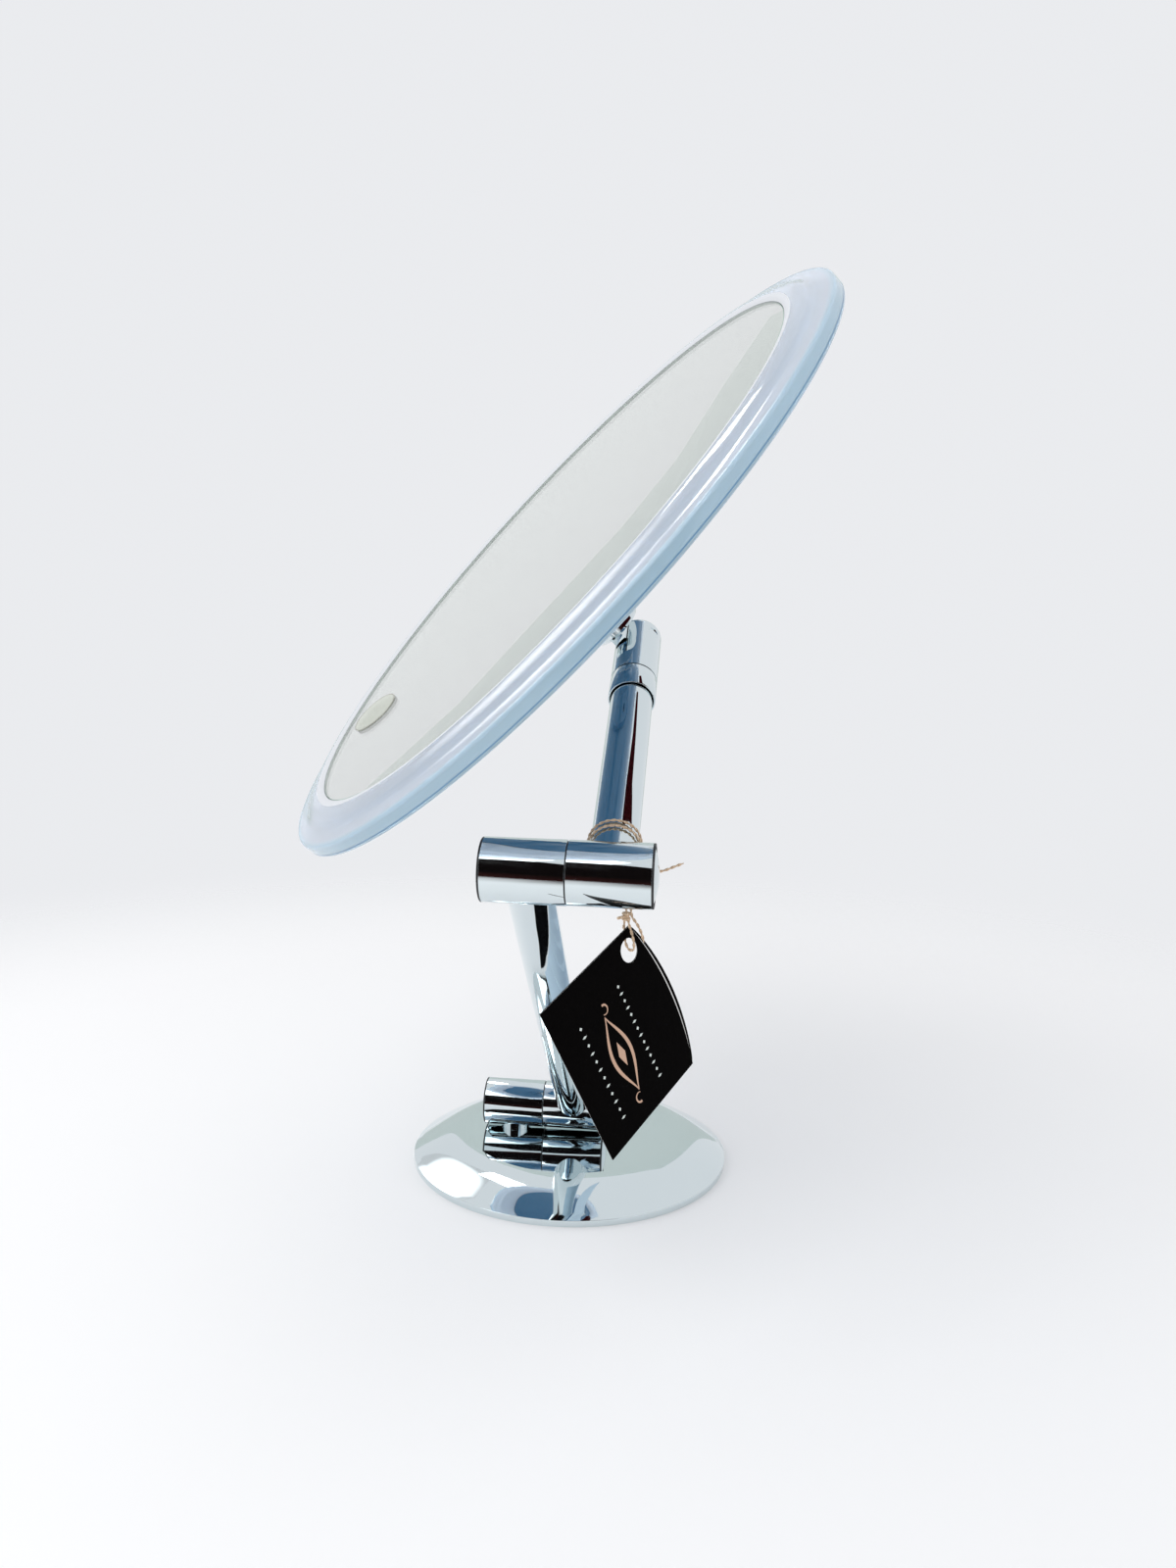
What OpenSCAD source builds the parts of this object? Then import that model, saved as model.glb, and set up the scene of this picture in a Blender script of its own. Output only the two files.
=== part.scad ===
// Extendable shaving mirror: wall plate, two folding arms, and a magnifying mirror that swivels and tilts.
// Millimetres. Origin at the centre of the wall plate's back face, +Z away from the wall,
// X along the two arm knuckles.

/* [Wall plate] */
// Outer diameter of the wall plate
plate_d = 116; // [100:1:130]
// Height of the plate's flat top above the wall
plate_h = 9.4; // [9:0.1:11]
// Height of the plate's straight rim
rim_h = 2.2; // [1.6:0.1:3]
// Wall thickness of the plate
plate_wall = 2; // [1.5:0.1:2.4]
// Pitch circle of the three wall screws
screw_pcd = 70; // [60:1:76]
// Diameter of each wall screw hole
screw_d = 5; // [4:0.5:6]

/* [Knuckles] */
// Diameter of the knuckle barrels
barrel_d = 17; // [16:0.5:18]
// Length of a knuckle, both halves together
barrel_l = 43.4; // [41:0.2:46]
// Running gap between the two halves of a knuckle
seam = 0.4; // [0.3:0.1:0.6]
// Gap between the turning base knuckle and the plate
plate_gap = 0.6; // [0.4:0.1:1]
// Sideways place of the base knuckle's seam from the plate's centre
seam_x = -9.5; // [-12:0.5:-4]
// Diameter of the pivot bolts
pivot_d = 6; // [5:0.5:6]

/* [Arms] */
// Outer diameter of the arm tubes
tube_d = 12.7; // [12:0.1:13]
// Wall thickness of the arm tubes
tube_wall = 1; // [0.8:0.1:1.2]
// Lower arm, knuckle axis to knuckle axis
lower_arm = 172; // [160:1:190]
// Upper arm, knuckle axis to tilt pin
upper_arm = 105; // [100:1:120]

/* [Pose] */
// Lower arm's angle up from the rear horizontal
lower_angle = 138.5; // [130:0.5:150]
// Upper arm's angle up from the rear horizontal
upper_angle = 33.5; // [28:0.5:40]
// Direction in which the head is swivelled about the upper arm
head_swivel = 225.5; // [215:0.5:235]
// Tilt of the head away from the upper arm's axis
head_tilt = 84.5; // [80:0.5:88]

/* [Swivel] */
// Outer diameter of the collar and the swivel sleeve
sleeve_d = 14.4; // [14:0.1:15]
// Width of the slot in the sleeve's end
slot_w = 5; // [4.5:0.1:5.4]
// Diameter of the tilt pin
tilt_pin_d = 4; // [3:0.5:4]

/* [Head] */
// Outer diameter of the clear ring
ring_d = 230; // [220:1:240]
// Thickness of the ring's outer band
ring_band = 4.8; // [4:0.1:6]
// Diameter of the mirror glass
glass_d = 199; // [190:1:202]
// Thickness of the mirror glass
glass_t = 3; // [2:0.5:3]
// Depth of the mirror's hollow at its centre
glass_sag = 5; // [3:0.5:6]
// Distance from the tilt pin to the ring's back face
head_back = 38; // [36:1:42]

/* [Tag] */
// Width of the hang tag
tag_w = 38.3; // [36:0.1:39]
// Height of the hang tag
tag_h = 45; // [42:0.5:46]
// Thickness of one leaf of the tag
leaf_t = 0.4; // [0.3:0.1:0.5]
// Diameter of the twine
twine_d = 0.8; // [0.7:0.1:1]

/* [Hidden] */

$fn = 96;
eps = 0.01;
chrome = [0.78, 0.80, 0.83];
steel = [0.62, 0.63, 0.65];
nylon = [0.92, 0.92, 0.90];
steel_blue = [0.10, 0.24, 0.38];

barrel_r = barrel_d / 2;
half_l = (barrel_l - seam) / 2;        // length of one knuckle half
half_x = seam / 2 + half_l / 2;        // a half's centre, from the seam
pivot_r = pivot_d / 2;
run_gap = 0.05;                        // radial clearance of every running fit
head_r = 5.2;                          // pivot bolt's head
head_t = 4;
left_floor = 14;                       // floor of the left half's counterbore, from the seam
left_bore_r = 5.6;
right_floor = 11;                      // floor of the right half's counterbore, from the seam
right_bore_r = 6.2;
cap_r = barrel_r - 0.5;                // domed end cap
cap_h = 1.7;
cap_plug = 2.6;

tube_r = tube_d / 2;
tube_bore = tube_r - tube_wall;
spigot_r = tube_bore - run_gap;
spigot_end = 24;                       // spigot's tip, from the knuckle axis

bracket_r = 46;
grub_r = 1.5;
grub_z = 3.2;
post_r = 5.5;
post_foot = 4.6;                       // the post's foot, above the wall
post_screw_r = 2;

base_z = plate_h + plate_gap + barrel_r;
elbow_y = lower_arm * cos(lower_angle);
elbow_z = base_z + lower_arm * sin(lower_angle);
lower_x = seam_x + half_x;             // the lower arm's place along the knuckles
elbow_x = lower_x + half_x;            // the elbow's seam
upper_x = elbow_x + half_x;

sleeve_r = sleeve_d / 2;
collar_z0 = 75;                        // distances along the upper arm, from the elbow's axis
collar_z1 = 84.4;
collar_recess = 2.5;
tube_top = 80;
sleeve_z0 = 84.7;
sleeve_z1 = upper_arm + 6;
sleeve_round = 2.5;
slot_floor = upper_arm - 7.5;
stud_r = 3;
tongue_w = 13;
tongue_t = slot_w - 0.6;
neck_r = 8.5;
neck_z = 8.8;                          // start of the neck, from the tilt pin
pin_half = sleeve_d / 2 - 0.25;        // the tilt pin's ends, level with the sleeve

ring_r = ring_d / 2;
glass_r = glass_d / 2;
glass_edge = 7;                        // glass front edge, from the ring's back face
glass_gap = 0.05;                      // under the silvering
silver_t = 0.2;
shell_depth = 9;
boss_r = 22.6;                         // foot of the boss on the back shell
boss_screw_r = 1.5;
boss_screw_out = 17.5;
shell_wall = 2;
shell_inner = 24;                      // flat middle of the back shell
shell_outer = 78;                      // end of the back shell's slope
shell_rim = 84;                        // its flat rim, against the clear ring's back
flange_r = 80;                         // inner edge of the ring's flange, behind the glass
foam_r0 = 66;
foam_r1 = 76;
bowl_steps = 16;
bowl_r = (glass_r * glass_r + glass_sag * glass_sag) / (2 * glass_sag);
sticker_size = [26, 17.5];              // an oval label, laid flat in the hollow face
sticker_t = 0.2;
sticker_turn = 276.2;
sticker_out = 83;
sticker_slant = 45;                    // its long axis from the head's X axis
sticker_lift = 0.12;

// Height of the hollow mirror face at radius r, from the ring's back face
function bowl(r) = glass_edge - glass_sag + bowl_r - sqrt(bowl_r * bowl_r - r * r);
function under_glass(r) = bowl(r) - glass_t - silver_t - glass_gap;
function bowl_line(drop) = [for (i = [0 : bowl_steps])
    [glass_r * i / bowl_steps, bowl(glass_r * i / bowl_steps) - drop]];
function reversed(list) = [for (i = [len(list) - 1 : -1 : 0]) list[i]];
function shell_line(drop) = [for (i = [0 : 10]) let (t = i / 10)
    [shell_inner + (shell_outer - shell_inner) * t,
     head_back - shell_depth + drop + (shell_depth - shell_wall) * t * t]];

tag_hole = [27.85, -121.6, 111];        // centre of the hole in the tag's front leaf
tag_yaw = 51.8;
tag_lean = 10.8;
tag_roll = 25;
tag_hole_r = 3.3;
tag_corner = [3.6, 5.3];               // top right corner, from the hole
tag_bulge = 3.5;                       // swell of the right edge
tag_edge_r = tag_h * tag_h / (8 * tag_bulge) + tag_bulge / 2;
back_leaf_turn = -0.5;

// Twine, from its free end by two turns round the upper arm and the tag's hole to the other end
turn_r = 6.95;                         // centre line of the turns, from the arm's axis
turn_steps = 31;
turn_start = 30;
turn_sweep = 680;
turn_first = 10.5;                     // middle of the turns along the arm
turn_lean = 1.2;
turn_rise = 1.9;
function on_arm(x, y, s) = [upper_x + x, elbow_y + s * cos(upper_angle) + y * sin(upper_angle),
                            elbow_z + s * sin(upper_angle) - y * cos(upper_angle)];
function turns() = [for (i = [0 : turn_steps])
    let (t = i / turn_steps, a = turn_start - turn_sweep * t)
        on_arm(turn_r * sin(a), turn_r * cos(a),
               turn_first - turn_lean * cos(a) + turn_rise * (2 * t - 1))];
twine_before = [[41.5, -114.5, 133.5], [39, -114.8, 132.5], [36.5, -115.2, 131.5], [34, -115.6, 131],
                [31.5, -116, 131], [29, -117, 131.3]];
twine_after = [[29.8, -118.2, 134], [29.3, -118.3, 131.5], [28.2, -118.6, 129], [27.4, -119, 126.5],
               [27, -119.4, 124], [26.9, -119.9, 121.8], [27.4, -120.7, 119.9], [27.9, -121.4, 117.8],
               [28.6, -121.7, 115.8], [29.1, -121.8, 113.9], [29.3, -121.6, 112.2], [29.1, -121.1, 111.2],
               [28.6, -120.7, 110.9], [27.9, -120.2, 111], [27.2, -119.7, 111.9], [26.7, -119.4, 113.5],
               [26.5, -119.5, 115.4], [26.4, -119.8, 117.3], [26.6, -120.2, 118.8]];
tail_route = [[32, -124, 114], [31.2, -123.4, 116.4], [30, -122.4, 118.4], [28.6, -121.2, 120],
              [28.2, -120.2, 121.8], [28.3, -119.3, 124], [28.6, -118.8, 126.5],
              [29.3, -118.2, 128.8], [30.3, -117.4, 130.2]];
knot = [27, -120.4, 119.9];
stub_turn = -35;
stub_l = 3.4;
cord_sides = 8;

function unit(v) = v / norm(v);
function tangent(route, i) = unit(route[min(i + 1, len(route) - 1)] - route[max(i - 1, 0)]);
function square_to(v, t) = unit(v - (v * t) * t);
function normals(route) = [for (i = 0, n = square_to([0, 0.3, 1], tangent(route, 0)); i < len(route);
    i = i + 1, n = square_to(n, tangent(route, min(i, len(route) - 1)))) n];

// ---- frames ----
module at_base() translate([seam_x, 0, base_z]) children();
module at_elbow() translate([elbow_x, elbow_y, elbow_z]) children();
module along_lower() translate([lower_x, 0, base_z]) rotate([lower_angle - 90, 0, 0]) children();
module along_upper() translate([upper_x, elbow_y, elbow_z]) rotate([upper_angle - 90, 0, 0]) children();
module at_head() along_upper() translate([0, 0, upper_arm])
    rotate([0, 0, head_swivel]) rotate([0, head_tilt, 0]) children();

module rod(r, x0, x1) translate([x0, 0, 0]) rotate([0, 90, 0]) cylinder(r = r, h = x1 - x0);
module washer(r_out, r_in, t) difference() {
    cylinder(r = r_out, h = t);
    translate([0, 0, -1]) cylinder(r = r_in, h = t + 2);
}

// ---- wall plate ----
module cover_outline(inset) {
    slope = [for (i = [0 : 8]) let (t = i / 8)
        [plate_d / 2 - inset - 20 * t,
         rim_h + (plate_h - rim_h) * sin(90 * t) - inset * min(1, 2 * t + 0.3)]];
    polygon(concat([[0, 0], [plate_d / 2 - inset, 0]], slope, [[0, plate_h - inset]]));
}

module cover_plate() color(chrome) difference() {
    rotate_extrude() cover_outline(0);
    translate([0, 0, -eps]) rotate_extrude() cover_outline(plate_wall);
    translate([seam_x - half_x, 0, 0]) cylinder(r = post_r, h = plate_h + 5);
    translate([0, 40, grub_z]) rotate([-90, 0, 0]) cylinder(r = grub_r, h = 30);
}

module wall_bracket() color(steel) difference() {
    union() {
        cylinder(r = bracket_r, h = 2);
        washer(bracket_r, bracket_r - 2, 4);
    }
    for (a = [90 : 120 : 330]) rotate([0, 0, a]) translate([screw_pcd / 2, 0, -1])
        cylinder(d = screw_d, h = 6);
    translate([seam_x - half_x, 0, -1]) cylinder(r = 4.5, h = 6);
}

module grub_screw() color(steel) translate([0, bracket_r + 0.2, grub_z]) rotate([-90, 0, 0]) difference() {
    cylinder(r = grub_r, h = 8.6);
    translate([0, 0, 6.6]) cylinder(r = 0.85, h = 3, $fn = 6);
}

module post() color(chrome) difference() {
    translate([seam_x - half_x, 0, 0]) union() {
        translate([0, 0, post_foot]) cylinder(r = 9, h = plate_h - plate_wall - post_foot - 0.05);
        translate([0, 0, post_foot]) cylinder(r = post_r, h = base_z - post_foot);
    }
    at_base() rod(barrel_r, -barrel_l, 0);
    translate([seam_x - half_x, 0, 0]) cylinder(r = post_screw_r, h = base_z);
    translate([seam_x - half_x, 0, 0]) cylinder(r = 3.8, h = 7);
}

module post_screw() color(steel) translate([seam_x - half_x, 0, 0]) difference() {
    union() {
        translate([0, 0, post_foot]) cylinder(r = 3.7, h = 2.4);
        translate([0, 0, post_foot]) cylinder(r = post_screw_r, h = base_z - pivot_r - post_foot - 0.6);
    }
    translate([0, 0, 4]) cylinder(r = 1.7, h = 2, $fn = 6);
}

// ---- knuckles: axis along X, seam at x = 0 ----
module left_half() difference() {
    children(0);
    rod(pivot_r, -left_floor - 1, 1);
    rod(left_bore_r, -barrel_l / 2 - 1, -left_floor);
}

module right_half() difference() {
    children(0);
    rod(pivot_r + run_gap, 0, right_floor + 1);
    rod(right_bore_r, right_floor, barrel_l / 2 + 1);
}

module pivot_bolt() color(steel) difference() {
    union() {
        rod(head_r, -left_floor - head_t, -left_floor);
        rod(pivot_r, -left_floor - eps, 18.2);
    }
    translate([-left_floor - head_t, 0, 0]) rotate([0, 90, 0])
        cylinder(r = 2.6, h = 5, center = true, $fn = 6);
}

module pivot_nut() color(steel) difference() {
    translate([13.4, 0, 0]) rotate([0, 90, 0]) cylinder(r = 5.4, h = 4.4, $fn = 6);
    rod(pivot_r, 13, 18);
}

module spring_washers() color(steel) for (i = [0, 1])
    translate([right_floor + 0.1 + 1.2 * i, 0, 0]) rotate([0, 90, 0]) washer(5.7, pivot_r, 1);

module seam_washer() color(nylon) translate([-seam / 2, 0, 0]) rotate([0, 90, 0])
    washer(barrel_r - 0.4, pivot_r, seam - 0.1);

module end_cap(turn, plug_r) color(chrome) rotate([0, turn, 0]) {
    rod(plug_r, barrel_l / 2 - cap_plug, barrel_l / 2);
    dome_r = (cap_r * cap_r + cap_h * cap_h) / (2 * cap_h);
    intersection() {
        rod(cap_r, barrel_l / 2 - eps, barrel_l / 2 + cap_h + 1);
        translate([barrel_l / 2 + cap_h - dome_r, 0, 0]) sphere(r = dome_r);
    }
}

module base_half_fixed() color(chrome) at_base() difference() {
    left_half() rod(barrel_r, -barrel_l / 2, -seam / 2);
    translate([-half_x, 0, -base_z]) cylinder(r = 2, h = base_z - pivot_r - 0.6);
}

module spigot(angle, end) rotate([angle - 90, 0, 0]) cylinder(r = spigot_r, h = end);

module base_half_turning() color(chrome) at_base() right_half() union() {
    rod(barrel_r, seam / 2, barrel_l / 2);
    translate([half_x, 0, 0]) spigot(lower_angle, spigot_end);
}

module elbow_half_lower() color(chrome) at_elbow() left_half() union() {
    rod(barrel_r, -barrel_l / 2, -seam / 2);
    translate([-half_x, 0, 0]) spigot(lower_angle + 180, spigot_end);
}

module elbow_half_upper() color(chrome) at_elbow() right_half() union() {
    rod(barrel_r, seam / 2, barrel_l / 2);
    translate([half_x, 0, 0]) spigot(upper_angle, spigot_end);
}

// ---- arms ----
module lower_arm_tube() color(chrome) difference() {
    along_lower() cylinder(r = tube_r, h = lower_arm);
    along_lower() cylinder(r = tube_bore, h = lower_arm);
    at_base() rod(barrel_r, -barrel_l, barrel_l);
    at_elbow() rod(barrel_r, -barrel_l, barrel_l);
}

module upper_arm_tube() color(chrome) difference() {
    along_upper() cylinder(r = tube_r, h = tube_top);
    along_upper() cylinder(r = tube_bore, h = tube_top + 1);
    at_elbow() rod(barrel_r, -barrel_l, barrel_l);
}

// ---- swivel, along the upper arm ----
module swivel_collar() color(chrome) along_upper() difference() {
    translate([0, 0, collar_z0]) cylinder(r = sleeve_r, h = collar_z1 - collar_z0);
    translate([0, 0, collar_z0 - 1]) cylinder(r = sleeve_r - 0.55, h = collar_recess + 1);
    translate([0, 0, collar_z0]) cylinder(r = tube_r, h = tube_top - collar_z0);
    translate([0, 0, tube_top - 1]) cylinder(r = stud_r + run_gap, h = 10);
}

module swivel_stud() color(steel) along_upper() translate([0, 0, 68]) cylinder(r = stud_r, h = 21.5);

module swivel_nut() color(steel) along_upper() translate([0, 0, 71]) difference() {
    cylinder(r = 5.1, h = 4, $fn = 6);
    translate([0, 0, -1]) cylinder(r = stud_r, h = 6);
}

module swivel_spring() color(steel) along_upper() for (i = [0, 1, 2])
    translate([0, 0, 75.2 + 1.6 * i]) washer(5, stud_r, 1.4);

module swivel_washer() color(nylon) along_upper() translate([0, 0, collar_z1 + 0.05])
    washer(sleeve_r - 0.8, stud_r, sleeve_z0 - collar_z1 - 0.05);

module sleeve_outline() {
    top = [for (i = [0 : 6]) [sleeve_r - sleeve_round + sleeve_round * cos(15 * i),
                              sleeve_z1 - sleeve_round + sleeve_round * sin(15 * i)]];
    polygon(concat([[0, sleeve_z0], [sleeve_r, sleeve_z0]], top, [[0, sleeve_z1]]));
}

module swivel_sleeve() color(chrome) along_upper() difference() {
    rotate_extrude() sleeve_outline();
    translate([0, 0, sleeve_z0 - 1]) cylinder(r = stud_r, h = 5.8);
    rotate([0, 0, head_swivel]) {
        translate([-sleeve_d, -slot_w / 2, slot_floor]) cube([2 * sleeve_d, slot_w, 40]);
        translate([0, sleeve_d, upper_arm]) rotate([90, 0, 0])
            cylinder(r = tilt_pin_d / 2, h = 2 * sleeve_d);
    }
}

module across_head() along_upper() translate([0, 0, upper_arm])
    rotate([0, 0, head_swivel]) rotate([90, 0, 0]) children();

module tilt_pin() color(steel) across_head() translate([0, 0, -pin_half])
    cylinder(r = tilt_pin_d / 2, h = 2 * pin_half);

module tilt_washers() color(nylon) across_head() for (side = [-1, 1])
    translate([0, 0, side > 0 ? slot_w / 2 - 0.2 : -slot_w / 2]) washer(5, tilt_pin_d / 2, 0.2);

// ---- head: origin at the tilt pin, +Z out of the mirror's face ----
module head_boss() color(chrome) at_head() difference() {
    union() {
        intersection() {
            union() {
                rotate([90, 0, 0]) cylinder(r = tongue_w / 2, h = tongue_t, center = true);
                translate([-tongue_w / 2, -tongue_t / 2, 0]) cube([tongue_w, tongue_t, neck_z + 1]);
            }
            translate([0, 0, -20]) cylinder(r = 20, h = 20 + neck_z + 1);
        }
        rotate_extrude() boss_outline();
    }
    rotate([90, 0, 0]) cylinder(r = tilt_pin_d / 2 + run_gap, h = 20, center = true);
    at_boss_screws() translate([0, 0, -10]) cylinder(r = boss_screw_r, h = 20);
}

module boss_outline() {
    foot_z = head_back - shell_depth;
    flare = [for (i = [0 : 8]) let (t = i / 8)
        [neck_r + 13.5 * pow(t, 4), neck_z + 1 + t * (foot_z - neck_z - 3)]];
    polygon(concat([[0, neck_z], [neck_r - 1, neck_z]], flare, [[boss_r, foot_z], [0, foot_z]]));
}

module at_boss_screws() for (a = [30 : 120 : 270]) rotate([0, 0, a])
    translate([boss_screw_out, 0, head_back - shell_depth]) children();

module boss_screws() color(steel) at_head() at_boss_screws() {
    translate([0, 0, -1.8]) cylinder(r = boss_screw_r, h = 3.8);
    translate([0, 0, shell_wall]) cylinder(r = 2.8, h = 1.4);
}

module back_shell() color(steel_blue) at_head() difference() {
    rotate_extrude() polygon(concat(
        [[0, head_back - shell_depth]], shell_line(0),
        [[shell_rim, head_back - shell_wall], [shell_rim, head_back]],
        reversed(shell_line(shell_wall)), [[0, head_back - shell_depth + shell_wall]]));
    at_boss_screws() translate([0, 0, -1]) cylinder(r = boss_screw_r, h = 6);
}

module bowl_layer(top, bottom) translate([0, 0, head_back]) rotate_extrude()
    polygon(concat(bowl_line(bottom), reversed(bowl_line(top))));

module mirror_glass() color([0.80, 0.88, 0.86]) at_head() bowl_layer(0, glass_t);
module mirror_silvering() color([0.9, 0.92, 0.93]) at_head() bowl_layer(glass_t, glass_t + silver_t);

module foam_ring() color([0.3, 0.3, 0.3]) at_head() translate([0, 0, head_back]) rotate_extrude()
    polygon([[foam_r0, -2.6], [foam_r1, -0.3],
             [foam_r1, under_glass(foam_r1)], [foam_r0, under_glass(foam_r0)]]);

module clear_ring() color([0.78, 0.87, 0.95, 0.6]) at_head() translate([0, 0, head_back])
    rotate_extrude() ring_outline();

module ring_outline() {
    back_edge = [for (a = [-90 : 30 : 0]) [ring_r - 1 + cos(a), 1 + sin(a)]];
    front_edge = [for (a = [0 : 30 : 90]) [ring_r - 1 + cos(a), ring_band - 1 + sin(a)]];
    lip = [[glass_r + 9, 5.6], [glass_r + 7.6, 6.6], [glass_r + 5, 7.3], [glass_r + 2, 7.6],
           [glass_r + 0.8, 7.5], [glass_r + 0.2, 7.1]];
    seat = [for (i = [8 : -1 : 0]) let (r = flange_r + (glass_r + 0.2 - flange_r) * i / 8)
        [r, under_glass(min(r, glass_r))]];
    polygon(concat([[flange_r, 0]], back_edge, front_edge, lip, seat));
}

module magnification_sticker() color([0.86, 0.88, 0.74]) at_head() rotate([0, 0, sticker_turn])
    translate([sticker_out, 0, head_back + bowl(sticker_out) + sticker_lift])
    rotate([0, -asin(sticker_out / bowl_r), 0]) rotate([0, 0, sticker_slant - sticker_turn])
    linear_extrude(sticker_t)
        polygon([for (a = [0 : 5 : 355]) [sticker_size.x * cos(a), sticker_size.y * sin(a)] / 2]);

// ---- hang tag and its twine ----
module at_tag() translate(tag_hole) rotate([0, 0, tag_yaw]) rotate([90 - tag_lean, 0, 0])
    rotate([0, 0, tag_roll]) children();

module leaf_outline() difference() {
    intersection() {
        translate(tag_corner - [tag_w, tag_h]) square([tag_w + tag_bulge, tag_h]);
        translate(tag_corner - [tag_edge_r - tag_bulge, tag_h / 2]) circle(r = tag_edge_r, $fn = 240);
    }
    circle(r = tag_hole_r);
}

module tag_front_leaf() color([0.06, 0.06, 0.06]) at_tag() linear_extrude(leaf_t) leaf_outline();
module tag_back_leaf() color([0.06, 0.06, 0.06]) at_tag() rotate([0, 0, back_leaf_turn])
    translate([0, 0, -leaf_t]) linear_extrude(leaf_t) leaf_outline();

// A round strand swept along a list of points
module strand(route) {
    n = normals(route);
    rings = [for (i = [0 : len(route) - 1]) let (side = cross(tangent(route, i), n[i]))
        for (k = [0 : cord_sides - 1]) let (a = 360 * k / cord_sides)
            route[i] + twine_d / 2 * (cos(a) * n[i] + sin(a) * side)];
    walls = [for (i = [0 : len(route) - 2]) for (k = [0 : cord_sides - 1])
        let (a = i * cord_sides + k, b = i * cord_sides + (k + 1) % cord_sides)
            each [[a, a + cord_sides, b], [b, a + cord_sides, b + cord_sides]]];
    first = [for (k = [0 : cord_sides - 1]) k];
    last = [for (k = [cord_sides - 1 : -1 : 0]) (len(route) - 1) * cord_sides + k];
    polyhedron(points = rings, faces = concat(walls, [first, last]));
}

module twine() color([0.80, 0.66, 0.48]) strand(concat(twine_before, turns(), twine_after));
module twine_tail() color([0.80, 0.66, 0.48]) strand(tail_route);
module twine_knot() color([0.80, 0.66, 0.48]) translate(knot) union() {
    for (z = [-0.7, 0.7]) translate([0, 0, z]) rotate_extrude()
        translate([0.8, 0]) circle(d = twine_d, $fn = 24);
    cylinder(r = 0.9, h = 1.8, center = true);
    rotate([90, 0, stub_turn]) cylinder(d = twine_d, h = stub_l);
}

wall_bracket();
cover_plate();
grub_screw();
post();
post_screw();
base_half_fixed();
base_half_turning();
at_base() pivot_bolt();  // base_pivot_bolt
at_base() pivot_nut();  // base_pivot_nut
at_base() seam_washer();  // base_seam_washer
at_base() spring_washers();  // base_spring_washers
at_base() end_cap(180, left_bore_r);  // base_cap_left
at_base() end_cap(0, right_bore_r);  // base_cap_right
lower_arm_tube();
elbow_half_lower();
elbow_half_upper();
at_elbow() pivot_bolt();  // elbow_pivot_bolt
at_elbow() pivot_nut();  // elbow_pivot_nut
at_elbow() seam_washer();  // elbow_seam_washer
at_elbow() spring_washers();  // elbow_spring_washers
at_elbow() end_cap(180, left_bore_r);  // elbow_cap_left
at_elbow() end_cap(0, right_bore_r);  // elbow_cap_right
upper_arm_tube();
swivel_collar();
swivel_stud();
swivel_nut();
swivel_spring();
swivel_washer();
swivel_sleeve();
tilt_pin();
tilt_washers();
head_boss();
boss_screws();
back_shell();
foam_ring();
clear_ring();
mirror_glass();
mirror_silvering();
magnification_sticker();
tag_front_leaf();
tag_back_leaf();
twine();
twine_tail();
twine_knot();
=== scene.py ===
"""Looks of the extendable shaving mirror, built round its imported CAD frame.

Metres in the frame's coordinates, +Z up, except where a comment or docstring says millimetres.
"""
import math

import bmesh
import bpy
from mathutils import Matrix, Vector


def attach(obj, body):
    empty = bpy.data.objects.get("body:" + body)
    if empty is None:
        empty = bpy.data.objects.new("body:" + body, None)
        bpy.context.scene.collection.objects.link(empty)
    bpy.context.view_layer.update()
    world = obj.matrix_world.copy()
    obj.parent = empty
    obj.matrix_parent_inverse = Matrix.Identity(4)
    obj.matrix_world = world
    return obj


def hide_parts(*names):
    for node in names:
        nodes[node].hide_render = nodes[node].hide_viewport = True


MM = 0.001

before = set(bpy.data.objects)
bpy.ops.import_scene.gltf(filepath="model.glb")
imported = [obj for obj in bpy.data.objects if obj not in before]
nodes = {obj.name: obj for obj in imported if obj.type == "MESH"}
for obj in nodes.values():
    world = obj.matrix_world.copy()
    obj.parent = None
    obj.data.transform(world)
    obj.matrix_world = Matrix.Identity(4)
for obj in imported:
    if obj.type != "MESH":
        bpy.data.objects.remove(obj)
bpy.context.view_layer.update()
scene = bpy.context.scene

# ---------------------------------------------------------------- camera
EYE = Vector((0.04687, -0.42287, 0.19058))
YAW, PITCH, ROLL = math.radians(-5.80), math.radians(6.775), math.radians(1.256)
SENSOR = 36                     # mm, along the picture's longer side
FOCAL, LONG_SIDE = 1202, 1600   # in one unit
forward = Vector((math.sin(YAW) * math.cos(PITCH), math.cos(YAW) * math.cos(PITCH), -math.sin(PITCH)))
right = Vector((math.cos(YAW), -math.sin(YAW), 0))
up = right.cross(forward)
turned_right = right * math.cos(ROLL) + up * math.sin(ROLL)
turned_up = up * math.cos(ROLL) - right * math.sin(ROLL)
camera_data = bpy.data.cameras.new("camera")
camera_data.sensor_width = SENSOR
camera_data.lens = SENSOR * FOCAL / LONG_SIDE
camera_data.clip_start = 0.01
camera_data.clip_end = 50
camera = bpy.data.objects.new("camera", camera_data)
scene.collection.objects.link(camera)
camera.matrix_world = Matrix((
    (turned_right.x, turned_up.x, -forward.x, EYE.x),
    (turned_right.y, turned_up.y, -forward.y, EYE.y),
    (turned_right.z, turned_up.z, -forward.z, EYE.z),
    (0, 0, 0, 1)))
scene.camera = camera

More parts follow.
